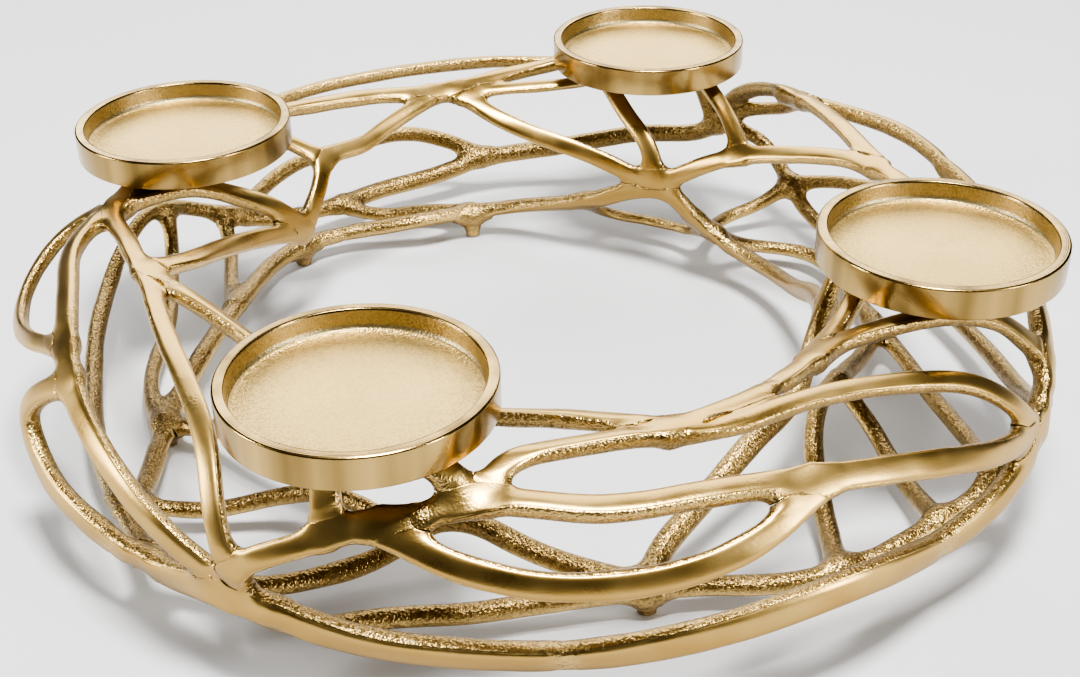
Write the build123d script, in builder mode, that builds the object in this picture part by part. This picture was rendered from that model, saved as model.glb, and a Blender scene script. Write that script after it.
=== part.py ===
# Candle ring: four shallow candle plates carried by a hollow ring of cast, welded twigs.
# Frame: millimetres, +Z up, ring axis on Z, feet on Z = 0, front plate towards -Y, right plate towards +X.
import math
import os
from build123d import *

os.makedirs("parts", exist_ok=True)

# Driving dimensions, millimetres
ring_radius = 160.0          # radius of the circle the hollow ring is bent round
ring_height = 45.0           # height of that circle above the floor
shell_half_width = 43.0      # half width of the hollow ring, to the middle of its twigs
shell_half_height = 36.0     # half height of the hollow ring, to the middle of its twigs
twig_width = 8.8             # width of a plain twig, across its ground outer face
twig_depth = 8.2             # depth of a plain twig, from the round back to the ground face
section_pitch = 16.0         # spacing of the sections a twig is drawn through
mark_pitch = 4.0             # spacing of the marks used to find which twigs meet

plate_circle_radius = 158.5  # radius of the circle the four plates stand on
plate_top = 100.0            # height of the plate rims above the floor
plate_radius = 45.0
plate_height = 12.0
plate_wall = 4.0
plate_floor = 4.0
plate_cove = 2.5             # slope between the floor and the wall inside
plate_edge = 0.8             # softened edge of the rim
boss_radius = 9.0            # rough casting boss under each plate
boss_depth = 7.5

foot_tip_radius = 3.6
foot_height = 9.0
foot_taper = 6.0             # degrees
foot_sides = 8

# Shares and counts. A twig's section has a flat ground face outwards and a rounded back, as shares of its
# half width and half depth.
section_shares = ((-0.70, 0.68), (0.70, 0.68), (1.04, 0.04), (0.58, -0.94), (-0.58, -0.94), (-1.04, 0.04))
flare_share = 0.12           # how much a twig thickens towards its ends
boss_tip_share = 0.55
foot_edge_share = 0.3
reach_share = 1.5            # how near two twigs' middles come, against their size, before they are coped
least_sections = 4

# Where each twig runs. Each place is turn round the ring in degrees, angle round the hollow section in
# degrees (0 outside, 90 top, 180 towards the ring's middle, -90 bottom), then how far out it lies as a
# share of the shell where that isn't 1. The first number of a row is how stout the twig is.
twig_shares = {
    "left_plate_arm": (1.0, (-172, 84, 1.14), (-164, 76), (-152, 91), (-143, 100), (-138, 110)),
    "front_left_rim": (1.3, (-115, -26, 1.06), (-109, -30, 1.02), (-101, -17), (-94, -19), (-87, -29),
                       (-77, -31), (-67, -32)),
    "front_right_rim": (1.3, (-67, -32), (-59.5, -26), (-52, -20), (-45.5, -16), (-37, -17),
                        (-27, -25, 1.03)),
    "right_rim": (1.2, (-27, -25, 1.03), (-20, -19, 1.07), (-14, -12, 1.07), (-9, -4, 1.05), (-4.5, 6, 1.03),
                  (0, 19), (6, 32)),
    "left_sweep": (1.05, (-164.5, 75), (-157, 62), (-146, 60), (-136, 55), (-125, 41), (-115, 27), (-106, 10),
                   (-97.5, -13)),
    "left_lower_loop": (1.1, (-126.5, 43), (-131, 22, 1.02), (-132.5, 5, 1.05), (-130, -9, 1.07),
                        (-123, -18, 1.09), (-115, -26, 1.06)),
    "left_upper_loop": (0.9, (-164, 72), (-163, 48), (-157, 27, 1.06), (-149, 19, 1.06), (-140, 31),
                        (-132, 50)),
    "front_branch": (1.0, (-98.5, -14), (-96.5, 8), (-92, 24), (-88.5, 34), (-84.5, 43), (-80, 50)),
    "front_leaf_top": (1.15, (-80, 50), (-75, 57), (-64, 54), (-53, 54), (-41.5, 47), (-30.5, 34),
                       (-18.5, 12), (-9, -4, 1.05)),
    "front_leaf_bottom": (1.1, (-84.5, 43), (-78.5, 32), (-71, 22), (-62, 19), (-54, 23), (-47, 34),
                          (-41.5, 47)),
    "front_right_crown": (1.0, (-75, 58), (-72.5, 76), (-67, 86), (-60, 90), (-54, 91), (-49, 95), (-42, 100),
                          (-38, 103.5)),
    "right_inner_arm": (1.0, (-38, 103.5), (-34, 107), (-26, 113), (-18, 104), (-11, 85), (-5, 58), (-1, 20)),
    "right_outer_arm": (0.95, (-54, 91), (-49, 86), (-41, 87), (-32, 82), (-24, 68), (-17.5, 49), (-13, 22),
                        (-9.5, -2, 1.04)),
    "front_inner_crown": (1.0, (-138, 110), (-133, 121), (-123, 137), (-112, 141), (-98, 138), (-86, 133),
                          (-74, 129), (-65, 116), (-54, 92)),
    "left_diagonal": (0.95, (-143, 100), (-132, 98), (-119, 87), (-110, 73), (-104, 55), (-100.5, 33),
                      (-98.5, 14), (-97.5, 3)),
    "left_arch": (1.1, (196, 74), (193, 92), (189, 111, 1.06), (184, 130), (178, 152), (171, 181),
                  (169.5, 187)),
    "left_leaf": (1.0, (171.5, 180), (187.5, 160), (203, 139), (212.5, 120), (217, 101)),
    "back_left_crown": (1.0, (168, 84, 1.13), (158, 90), (148, 101), (138, 108), (127, 113), (117, 103),
                        (109, 90), (101, 82, 1.13)),
    "back_left_fork": (0.95, (129, 112.5), (134, 123), (141.5, 133), (149, 141), (158.5, 143), (163, 156),
                       (167, 167), (170.8, 181)),
    "back_left_plate_arm": (0.9, (170, 100, 1.15), (164, 114), (158.5, 143)),
    "back_inner_crown": (1.0, (125.5, 112.5), (118, 139), (107, 156), (94, 169), (81, 177), (71, 160),
                         (62, 143), (52, 128), (42, 111), (30, 98), (12, 94, 1.13)),
    "back_outer_crown": (0.95, (168, 72, 1.17), (158, 62), (148, 60), (138, 64), (126, 65), (114, 60),
                         (104, 60), (96, 72, 1.17)),
    "back_plate_arm": (0.75, (125, 117), (113, 115), (100, 110, 1.06), (94, 104, 1.15)),
    "left_base": (1.1, (220.5, -93), (216, -98), (207.5, -108), (198, -115), (187, -117), (177, -112),
                  (166, -99), (156, -93), (148, -97)),
    "back_base": (1.1, (148, -97), (141, -108), (133, -119), (123, -114), (110, -131, 0.96), (97, -153),
                  (86, -171), (78, -174), (71, -158, 1.04), (62, -142, 1.1), (51, -140, 1.12),
                  (38, -150, 1.1), (22, -172, 1.03), (8, -188, 1.03)),
    "back_outer_base": (1.1, (150, -62), (144, -64), (136, -60), (127, -56), (119, -46), (109, -39),
                        (101, -31), (92, -21), (83, -7), (81.3, 8), (80.3, 20)),
    "back_outer_leaf": (0.95, (160, -45), (154, -33), (147, -23), (139, -21), (131, -18), (124, -28),
                        (118, -44)),
    "back_base_fork": (0.9, (144, -65), (139, -84), (131.5, -92), (123.5, -108)),
    "left_outer_arch": (0.9, (180, -22), (174, -13), (168, -20), (162, -39), (156, -56), (150, -62)),
    "left_outer_base": (0.95, (180, -22), (186, -34), (194, -45), (203, -55), (213, -60), (224, -60),
                        (234, -57), (243, -48), (250, -32, 1.02)),
    "left_strut": (0.85, (170, -17), (173, -42), (178, -60), (186, -78), (200, -87), (211, -92), (216, -98)),
    "back_left_strut": (0.85, (162, -39), (164.5, -60), (172, -88), (182, -114)),
    "front_inner_stem": (0.95, (216, -98), (221, -116), (228, -131), (238, -145), (248, -163), (257, -185),
                         (261, -207), (263, -222)),
    "front_left_strut": (1.0, (220.5, -93), (224, -88), (230, -77), (237, -58)),
    "front_base": (1.0, (-94, -22), (-93, -50), (-88, -78), (-79, -91), (-69, -100), (-55, -102), (-47, -96),
                   (-40, -83), (-32.5, -71), (-27, -64)),
    "front_inner_arch": (1.0, (-113.5, -41), (-104, -70), (-100, -88), (-96, -103), (-91, -121), (-86, -138),
                         (-80, -141), (-72, -131), (-63, -118), (-55, -104)),
    "front_left_base": (0.85, (233, -57), (236, -79), (240.5, -100), (246, -122), (254, -136), (264, -136),
                        (270, -128)),
    "right_inner_stem": (1.1, (9, 124, 1.3), (6, 150, 1.08), (0, 168, 1.03), (-7, 181), (-14, 195),
                         (-24, 199), (-35, 210), (-44, 224), (-51, 239), (-55, 256)),
    "right_base": (0.9, (-27, -64), (-19, -53), (-13, -34), (-9, -8, 1.03)),
    "right_third_strut": (0.9, (68, -146, 1.03), (66, -112), (58, -88), (45, -93), (33, -99), (22, -95),
                          (10, -83), (-2, -60), (-13, -33)),
    "right_strut": (0.95, (-32.5, -71), (-28, -92), (-23, -111), (-17, -131), (-8, -147), (4, -143),
                    (17, -125), (30, -101)),
    "right_second_strut": (0.9, (4, -141), (-2, -113), (-9, -93), (-14, -75), (-19, -54)),
    "back_right_loop": (1.0, (80.3, 20), (75.5, 42), (68.5, 62), (60, 78), (50, 91), (42, 98), (36, 101)),
    "right_outer_crown": (1.1, (69, 62), (61, 58), (53, 55, 1.06), (46, 52, 1.08), (39, 48, 1.03), (28, 43),
                          (15, 39), (6, 32)),
    "right_fourth_strut": (0.9, (82, -6), (76, -11), (71.5, -28), (69, -38), (64, -53), (55, -62), (42, -61),
                           (28, -55), (17, -47), (6, -32), (-3, -6)),
    "back_right_leaf": (0.85, (81.5, 4), (76.5, 15), (72, 24), (67.5, 42), (63, 71)),
    "back_right_outer_strut": (0.8, (69, -37), (63, -26), (56, -17), (49, -3), (42, 22), (38, 46)),
    "back_right_strut": (0.85, (71, -156, 1.03), (75, -112), (75, -80), (72, -60), (69, -38)),
    "back_base_loop": (0.8, (99, -150), (95, -122), (86, -119, 1.03), (76, -124, 1.03), (66, -146, 1.06)),
    "back_inner_stem": (1.0, (97, 110, 1.2), (90, 135), (84, 155), (81, 177)),
    "back_right_stem": (0.9, (79, 98, 1.15), (71, 117), (65, 134), (62, 143)),
    "back_outer_stem": (0.8, (87, 66, 1.2), (85.5, 32, 1.02), (83, -7)),
    "front_stem": (1.1, (-89.5, 62, 1.3), (-89, 48, 1.08), (-88.5, 34)),
    "front_right_stem": (1.1, (-81, 70, 1.28), (-77, 64, 1.08), (-75.5, 57.5)),
    "right_stem": (1.0, (-8, 116, 1.28), (-15, 122, 1.06), (-23, 120), (-29, 111)),
}

# Plates: turn round the ring in degrees. Feet: turn and angle round the section, below the low twigs.
plate_turns = {"front_plate": -90.0, "right_plate": 0.0, "back_plate": 90.0, "left_plate": 180.0}
foot_shares = ((123, -114), (156, -93), (216, -98), (305, -102), (33, -99))

plate_base = plate_top - plate_height
twig_reach = reach_share * max(twig_width, twig_depth)


def on_shell(turn, around, lift=1.0):
    """Point on the hollow ring from its two angles, in degrees, and its share of the shell."""
    reach = ring_radius + shell_half_width * lift * math.cos(math.radians(around))
    rise = ring_height + shell_half_height * lift * math.sin(math.radians(around))
    return Vector(reach * math.cos(math.radians(turn)), reach * math.sin(math.radians(turn)), rise)


def outward(spot):
    """Direction square to the hollow ring's surface at a point."""
    level = Vector(spot.X, spot.Y, 0)
    out = (level.length - ring_radius) / shell_half_width ** 2
    up = (spot.Z - ring_height) / shell_half_height ** 2
    return (level.normalized() * out + Vector(0, 0, up)).normalized()


# The places next to each twig's two ends. Two twigs that end at one place are butt welded there.
beside = {}
for stout, *stations in twig_shares.values():
    beside.setdefault(stations[0], []).append(stations[1])
    beside.setdefault(stations[-1], []).append(stations[-2])


def leaving(end, inner):
    """Direction in which a twig leaves its end, shared by the two twigs of a butt weld."""
    beyond = [place for place in beside[end] if place != inner]
    return on_shell(*(beyond[0] if beyond else end)) - on_shell(*inner)


made = {}
made_spots = {}

# Candle plates: each a turned dish with a coved floor, a softened rim and a casting boss underneath
for name, turn in plate_turns.items():
    centre = Plane.XY.offset(plate_base).move(
        Location((plate_circle_radius * math.cos(math.radians(turn)),
                  plate_circle_radius * math.sin(math.radians(turn)), 0)))
    with BuildPart(centre) as plate:
        Cylinder(plate_radius, plate_height, align=(Align.CENTER, Align.CENTER, Align.MIN))
        with Locations((0, 0, plate_floor)):
            Cylinder(plate_radius - plate_wall, plate_height, align=(Align.CENTER, Align.CENTER, Align.MIN),
                     mode=Mode.SUBTRACT)
        floor_edge = plate.edges().filter_by(GeomType.CIRCLE).group_by(Axis.Z)[1]
        chamfer(floor_edge, plate_cove)
        rim_edges = plate.edges().filter_by(GeomType.CIRCLE).group_by(Axis.Z)[-1]
        chamfer(rim_edges, plate_edge)
        Cone(boss_radius * boss_tip_share, boss_radius, boss_depth,
             align=(Align.CENTER, Align.CENTER, Align.MAX))
    plate.part.label = name
    made[name] = plate.part
    export_step(plate.part, f"parts/{name}.step")


def near(spots, name):
    """True where a row of spots comes within a twig's reach of a piece already made."""
    if name in plate_turns:
        return any(spot.Z > plate_base - twig_reach for spot in spots)
    return any((spot - mark).length < twig_reach for spot in spots for mark in made_spots[name])


def butted(stations, name):
    """True where a twig with these stations is butt welded to the end of a twig already made."""
    if name in plate_turns:
        return False
    ends = (twig_shares[name][1], twig_shares[name][-1])
    return stations[0] in ends or stations[-1] in ends


# Twigs: each drawn through six-sided D sections, ground face outwards, then coped to what it lands on
for name, (stout, *stations) in twig_shares.items():
    with BuildLine(mode=Mode.PRIVATE) as run:
        Spline(*[on_shell(*station) for station in stations],
               tangents=(-leaving(stations[0], stations[1]), leaving(stations[-1], stations[-2])),
               tangent_scalars=(1, 1))
    path = run.edge()
    steps = max(least_sections, round(path.length / section_pitch))
    marks = max(least_sections, round(path.length / mark_pitch))
    spots = [path @ (mark / marks) for mark in range(marks + 1)]
    with BuildPart() as twig:
        for step in range(steps + 1):
            share = step / steps
            spot = path @ share
            ahead = path % share
            side = outward(spot).cross(ahead)
            swell = stout * (1 + flare_share * abs(2 * share - 1) ** 4)
            half_width = twig_width * swell / 2
            half_depth = twig_depth * swell / 2
            with BuildSketch(Plane(origin=spot, x_dir=side, z_dir=ahead)):
                with BuildLine():
                    Polyline(*[(half_width * across, half_depth * up) for across, up in section_shares],
                             close=True)
                make_face()
        loft()
        for other, piece in made.items():
            if near(spots, other) and not butted(stations, other):
                add(piece, mode=Mode.SUBTRACT)
    body = twig.part.solids().sort_by(SortBy.VOLUME)[-1]
    body.label = name
    made[name] = body
    made_spots[name] = spots
    export_step(body, f"parts/{name}.step")

# Feet: short cast nubs under the low twigs, their tips on the floor
foot_spots = [on_shell(*share) for share in foot_shares]
with BuildPart() as feet:
    with BuildSketch(Plane.XY):
        with Locations(*[(spot.X, spot.Y) for spot in foot_spots]):
            RegularPolygon(foot_tip_radius, foot_sides)
    extrude(amount=foot_height, taper=-foot_taper)
    tip_edges = feet.edges().group_by(Axis.Z)[0]
    chamfer(tip_edges, foot_tip_radius * foot_edge_share)
    for other in made_spots:
        if near(foot_spots, other):
            add(made[other], mode=Mode.SUBTRACT)
nubs = Compound(feet.solids().sort_by(SortBy.VOLUME)[-len(foot_shares):], label="feet")
export_step(nubs, "parts/feet.step")
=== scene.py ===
# Looks of the candle ring: turned plates on a hollow wreath of cast, ground and welded twigs.
import math
import bmesh
import bpy
import numpy as np
from mathutils import Matrix, Vector, noise


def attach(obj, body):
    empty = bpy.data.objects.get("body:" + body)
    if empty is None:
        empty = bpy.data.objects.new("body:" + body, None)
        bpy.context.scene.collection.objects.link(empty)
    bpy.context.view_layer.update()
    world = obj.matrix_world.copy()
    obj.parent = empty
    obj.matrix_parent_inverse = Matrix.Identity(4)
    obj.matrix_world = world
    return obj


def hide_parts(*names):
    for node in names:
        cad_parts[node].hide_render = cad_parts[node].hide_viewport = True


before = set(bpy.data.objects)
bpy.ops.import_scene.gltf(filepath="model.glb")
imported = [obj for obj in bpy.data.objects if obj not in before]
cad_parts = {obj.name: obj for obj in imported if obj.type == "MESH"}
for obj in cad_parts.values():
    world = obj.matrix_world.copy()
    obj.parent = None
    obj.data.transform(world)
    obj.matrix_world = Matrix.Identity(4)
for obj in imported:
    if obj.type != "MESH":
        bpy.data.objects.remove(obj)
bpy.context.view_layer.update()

# Sizes of the ring, metres
ring_radius = 0.160
ring_height = 0.045
shell_half_width = 0.043
shell_half_height = 0.036
twig_width = 0.0088
twig_depth = 0.0082
plate_circle_radius = 0.1585
plate_top = 0.100
plate_radius = 0.045
plate_height = 0.012
plate_wall = 0.004
plate_floor = 0.004
plate_cove = 0.0025
boss_radius = 0.009
boss_depth = 0.0075
boss_tip_share = 0.55
foot_tip_radius = 0.0036
foot_taper = math.radians(6)
plate_base = plate_top - plate_height

# How the limbs of the casting are drawn
line_pitch = 0.0015          # spacing of the places that a limb's middle line is known at
fine_steps = 40              # places worked out between two stations of the table
foot_places = 7              # places on a foot's middle line
ring_step = 3                # places from one ring of a limb's mesh to the next
tucks = ((0.002, 0.97), (0.004, 0.85))   # rings that a butted end runs on inside its partner: reach, scale
taper_run = 0.030            # stretch over which a butted twig takes its partner's thickness
flare_run = 0.020            # stretch over which a landing end thickens, and by how much
flare_share = 0.14
nose_run = 0.0055            # rounding of the one free end that stands out of its knot
nose_blunt = 0.97
nose_end = ("left_arch", 1)
weld_round = 0.0062          # how wide the metal rounds off where limbs meet
edge_round = 0.0014          # rounding of the ground face's edges
face_share = 0.68            # height of the ground face, as a share of half the depth
crown_share = 0.12           # how much lower its edges are than its middle
face_reach = 1.5             # half widths from the middle over which the face is followed
core_share = 0.6             # depth below the skin where distances stop, as a share of half the depth
sink_share = 1.7             # room above and below a limb that still counts as inside it
dive_width = 0.0020          # a limb slips under the skin of one that it lands on over this width
dive_depth = 0.00025
dive_slope = 0.6             # how fast it goes on down from there
end_run = 0.0045             # the last stretch of a landing end goes well inside
end_lead = 1.3
end_depth = 0.0009
deepest = 0.0012             # no vertex goes further under the skin
skin_turns = 14              # rounds in which the vertices close in on the skin
skin_step = 0.0008           # longest move in one round
least_strength = 0.04        # floor under the slope that the moves are divided by
near_end = 0.016             # how far from its end a limb gives way to the one it lands on
lump_height = 0.00032        # unevenness of the casting
lump_size = 0.013
lump_grinding = 0.5          # share of it that grinding takes away
bead_height = 0.00040        # unevenness of the butt welds
bead_size = 0.0032
bead_reach = 0.0050
bead_span = 4 * bead_reach
rounding_levels = 2

# Where the casting is ground, and where shade is painted on it, by the way that its skin faces
ground_facing = 0.62
ground_fade = 0.22
bead_dulling = 0.7           # share of the polish that a weld bead lacks
patch_size = 0.010           # worn patches on the upper ground faces
patch_cover = 0.9
patch_wear = 0.35
upper_share = 0.5            # height above the ring's middle where they begin
# Painted shade: raw faces turned inward, away from the ground face, and the webs where limbs meet get darker
inward_shade_facing = 0.3
inward_shade_fade = 1.3
web_shade = 0.8
# Painted shade: ground faces that turn down get a darker gold
down_shade_share = 0.75
down_shade_tilt = 0.45
down_shade_fade = 0.7

# Guards against division by nothing
least_length = 1e-12
least_way = 1e-9
least_slope = 1e-6

# Half of a limb's section, ground face up, as shares of half its width and half its depth
section_shares = ((0.36, 0.75), (0.78, 0.70), (1.08, 0.18), (0.90, -0.56), (0.38, -1.06))

# Each place of a twig: turn round the ring, angle round the hollow section, share of the shell if not 1.
# The first number of a row is how stout the twig is.
twig_shares = {
    "left_plate_arm": (1.0, (-172, 84, 1.14), (-164, 76), (-152, 91), (-143, 100), (-138, 110)),
    "front_left_rim": (1.3, (-115, -26, 1.06), (-109, -30, 1.02), (-101, -17), (-94, -19), (-87, -29),
                       (-77, -31), (-67, -32)),
    "front_right_rim": (1.3, (-67, -32), (-59.5, -26), (-52, -20), (-45.5, -16), (-37, -17),
                        (-27, -25, 1.03)),
    "right_rim": (1.2, (-27, -25, 1.03), (-20, -19, 1.07), (-14, -12, 1.07), (-9, -4, 1.05), (-4.5, 6, 1.03),
                  (0, 19), (6, 32)),
    "left_sweep": (1.05, (-164.5, 75), (-157, 62), (-146, 60), (-136, 55), (-125, 41), (-115, 27), (-106, 10),
                   (-97.5, -13)),
    "left_lower_loop": (1.1, (-126.5, 43), (-131, 22, 1.02), (-132.5, 5, 1.05), (-130, -9, 1.07),
                        (-123, -18, 1.09), (-115, -26, 1.06)),
    "left_upper_loop": (0.9, (-164, 72), (-163, 48), (-157, 27, 1.06), (-149, 19, 1.06), (-140, 31),
                        (-132, 50)),
    "front_branch": (1.0, (-98.5, -14), (-96.5, 8), (-92, 24), (-88.5, 34), (-84.5, 43), (-80, 50)),
    "front_leaf_top": (1.15, (-80, 50), (-75, 57), (-64, 54), (-53, 54), (-41.5, 47), (-30.5, 34),
                       (-18.5, 12), (-9, -4, 1.05)),
    "front_leaf_bottom": (1.1, (-84.5, 43), (-78.5, 32), (-71, 22), (-62, 19), (-54, 23), (-47, 34),
                          (-41.5, 47)),
    "front_right_crown": (1.0, (-75, 58), (-72.5, 76), (-67, 86), (-60, 90), (-54, 91), (-49, 95), (-42, 100),
                          (-38, 103.5)),
    "right_inner_arm": (1.0, (-38, 103.5), (-34, 107), (-26, 113), (-18, 104), (-11, 85), (-5, 58), (-1, 20)),
    "right_outer_arm": (0.95, (-54, 91), (-49, 86), (-41, 87), (-32, 82), (-24, 68), (-17.5, 49), (-13, 22),
                        (-9.5, -2, 1.04)),
    "front_inner_crown": (1.0, (-138, 110), (-133, 121), (-123, 137), (-112, 141), (-98, 138), (-86, 133),
                          (-74, 129), (-65, 116), (-54, 92)),
    "left_diagonal": (0.95, (-143, 100), (-132, 98), (-119, 87), (-110, 73), (-104, 55), (-100.5, 33),
                      (-98.5, 14), (-97.5, 3)),
    "left_arch": (1.1, (196, 74), (193, 92), (189, 111, 1.06), (184, 130), (178, 152), (171, 181),
                  (169.5, 187)),
    "left_leaf": (1.0, (171.5, 180), (187.5, 160), (203, 139), (212.5, 120), (217, 101)),
    "back_left_crown": (1.0, (168, 84, 1.13), (158, 90), (148, 101), (138, 108), (127, 113), (117, 103),
                        (109, 90), (101, 82, 1.13)),
    "back_left_fork": (0.95, (129, 112.5), (134, 123), (141.5, 133), (149, 141), (158.5, 143), (163, 156),
                       (167, 167), (170.8, 181)),
    "back_left_plate_arm": (0.9, (170, 100, 1.15), (164, 114), (158.5, 143)),
    "back_inner_crown": (1.0, (125.5, 112.5), (118, 139), (107, 156), (94, 169), (81, 177), (71, 160),
                         (62, 143), (52, 128), (42, 111), (30, 98), (12, 94, 1.13)),
    "back_outer_crown": (0.95, (168, 72, 1.17), (158, 62), (148, 60), (138, 64), (126, 65), (114, 60),
                         (104, 60), (96, 72, 1.17)),
    "back_plate_arm": (0.75, (125, 117), (113, 115), (100, 110, 1.06), (94, 104, 1.15)),
    "left_base": (1.1, (220.5, -93), (216, -98), (207.5, -108), (198, -115), (187, -117), (177, -112),
                  (166, -99), (156, -93), (148, -97)),
    "back_base": (1.1, (148, -97), (141, -108), (133, -119), (123, -114), (110, -131, 0.96), (97, -153),
                  (86, -171), (78, -174), (71, -158, 1.04), (62, -142, 1.1), (51, -140, 1.12),
                  (38, -150, 1.1), (22, -172, 1.03), (8, -188, 1.03), (3.2, -195, 1.03)),
    "back_outer_base": (1.1, (150, -62), (144, -64), (136, -60), (127, -56), (119, -46), (109, -39),
                        (101, -31), (92, -21), (83, -7), (81.3, 8), (80.3, 20)),
    "back_outer_leaf": (0.95, (160, -45), (154, -33), (147, -23), (139, -21), (131, -18), (124, -28),
                        (118, -44)),
    "back_base_fork": (0.9, (144, -65), (139, -84), (131.5, -92), (123.5, -108)),
    "left_outer_arch": (0.9, (180, -22), (174, -13), (168, -20), (162, -39), (156, -56), (150, -62)),
    "left_outer_base": (0.95, (180, -22), (186, -34), (194, -45), (203, -55), (213, -60), (224, -60),
                        (234, -57), (243, -48), (250, -32, 1.02)),
    "left_strut": (0.85, (170, -17), (173, -42), (178, -60), (186, -78), (200, -87), (211, -92), (216, -98)),
    "back_left_strut": (0.85, (162, -39), (164.5, -60), (172, -88), (182, -114)),
    "front_inner_stem": (0.95, (216, -98), (221, -116), (228, -131), (238, -145), (248, -163), (257, -185),
                         (261, -207), (263, -222)),
    "front_left_strut": (1.0, (220.5, -93), (224, -88), (230, -77), (237, -58)),
    "front_base": (1.0, (-94, -22), (-93, -50), (-88, -78), (-79, -91), (-69, -100), (-55, -102), (-47, -96),
                   (-40, -83), (-32.5, -71), (-27, -64)),
    "front_inner_arch": (1.0, (-113.5, -41), (-104, -70), (-100, -88), (-96, -103), (-91, -121), (-86, -138),
                         (-80, -141), (-72, -131), (-63, -118), (-55, -104)),
    "front_left_base": (0.85, (233, -57), (236, -79), (240.5, -100), (246, -122), (254, -136), (264, -136),
                        (270, -128)),
    "right_inner_stem": (1.1, (9, 124, 1.3), (6, 150, 1.08), (0, 168, 1.03), (-7, 181), (-14, 195),
                         (-24, 199), (-35, 210), (-44, 224), (-51, 239), (-55, 256)),
    "right_base": (0.9, (-27, -64), (-19, -53), (-13, -34), (-9, -8, 1.03)),
    "right_third_strut": (0.9, (68, -146, 1.03), (66, -112), (58, -88), (45, -93), (33, -99), (22, -95),
                          (10, -83), (-2, -60), (-13, -33)),
    "right_strut": (0.95, (-32.5, -71), (-28, -92), (-23, -111), (-17, -131), (-8, -147), (4, -143),
                    (17, -125), (30, -101)),
    "right_second_strut": (0.9, (4, -141), (-2, -113), (-9, -93), (-14, -75), (-19, -54)),
    "back_right_loop": (1.0, (80.3, 20), (75.5, 42), (68.5, 62), (60, 78), (50, 91), (42, 98), (36, 101)),
    "right_outer_crown": (1.1, (69, 62), (61, 58), (53, 55, 1.06), (46, 52, 1.08), (39, 48, 1.03), (28, 43),
                          (15, 39), (6, 32)),
    "right_fourth_strut": (0.9, (82, -6), (76, -11), (71.5, -28), (69, -38), (64, -53), (55, -62), (42, -61),
                           (28, -55), (17, -47), (6, -32), (-3, -8), (-6.5, 1, 1.04)),
    "back_right_leaf": (0.85, (81.5, 4), (76.5, 15), (72, 24), (67.5, 42), (63, 71)),
    "back_right_outer_strut": (0.8, (69, -37), (63, -26), (56, -17), (49, -3), (42, 22), (38, 46)),
    "back_right_strut": (0.85, (71, -156, 1.03), (75, -112), (75, -80), (72, -60), (69, -38)),
    "back_base_loop": (0.8, (99, -150), (95, -122), (86, -119, 1.03), (76, -124, 1.03), (66, -146, 1.06)),
    "back_inner_stem": (1.0, (97, 110, 1.2), (90, 135), (84, 155), (81, 177)),
    "back_right_stem": (0.9, (79, 98, 1.15), (71, 117), (65, 134), (62, 143)),
    "back_outer_stem": (0.8, (87, 66, 1.2), (85.5, 32, 1.02), (83, -7)),
    "front_stem": (1.1, (-89.5, 62, 1.3), (-89, 48, 1.08), (-88.5, 34)),
    "front_right_stem": (1.1, (-81, 70, 1.28), (-77, 64, 1.08), (-75.5, 57.5)),
    "right_stem": (1.0, (-8, 116, 1.28), (-15, 122, 1.06), (-23, 120), (-29, 111)),
}
foot_shares = ((123, -114), (156, -93), (216, -98), (305, -102), (33, -99))


# The hollow ring that every twig lies on
def on_shell(turn, around, lift=1.0):
    """Point on the hollow ring from its two angles, in degrees, and its share of the shell."""
    reach = ring_radius + shell_half_width * lift * math.cos(math.radians(around))
    rise = ring_height + shell_half_height * lift * math.sin(math.radians(around))
    return np.array((reach * math.cos(math.radians(turn)), reach * math.sin(math.radians(turn)), rise))


def unit(rows):
    """Rows of vectors scaled to length 1."""
    return rows / np.maximum(np.linalg.norm(rows, axis=-1, keepdims=True), least_length)


def smooth_step(share):
    """Eased share, held between 0 and 1."""
    share = np.clip(share, 0, 1)
    return share * share * (3 - 2 * share)


# Just below the widest place the grinding belt tips the faces up a little
tip_middle = math.radians(-22)
tip_width = math.radians(22)
tip_angle = math.radians(32)
# A few twigs are ground more from above along a stretch: angle in degrees, shares of the length where it is
face_tips = {"front_leaf_top": (30, 0.04, 0.52), "front_right_crown": (16, 0.15, 0.70)}
tip_ease = 0.10


def ground_way(points, tip=0.0):
    """Directions that the ground faces look in at points: square to the hollow ring, tipped up at the rim."""
    level = np.linalg.norm(points[:, :2], axis=1)
    out = (level - ring_radius) / shell_half_width ** 2
    up = (points[:, 2] - ring_height) / shell_half_height ** 2
    angle = np.arctan2(up, out)
    angle = angle + tip + tip_angle * np.exp(-((angle - tip_middle) / tip_width) ** 2)
    flat = points[:, :2] / level[:, None] * np.cos(angle)[:, None]
    return np.column_stack((flat, np.sin(angle)))


# Twigs that end at the same place are butt welded there
beside = {}
for name, (stout, *stations) in twig_shares.items():
    beside.setdefault(stations[0], []).append((name, stations[1]))
    beside.setdefault(stations[-1], []).append((name, stations[-2]))


def butted(name, end):
    """Name and next place of the twig that is butt welded to this one at an end, or None."""
    others = [row for row in beside[end] if row[0] != name]
    return others[0] if others else None


def leaving(name, end, inner):
    """Direction in which a twig leaves its end, shared by the two twigs of a butt weld."""
    other = butted(name, end)
    return unit(on_shell(*(other[1] if other else end)) - on_shell(*inner))


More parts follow.
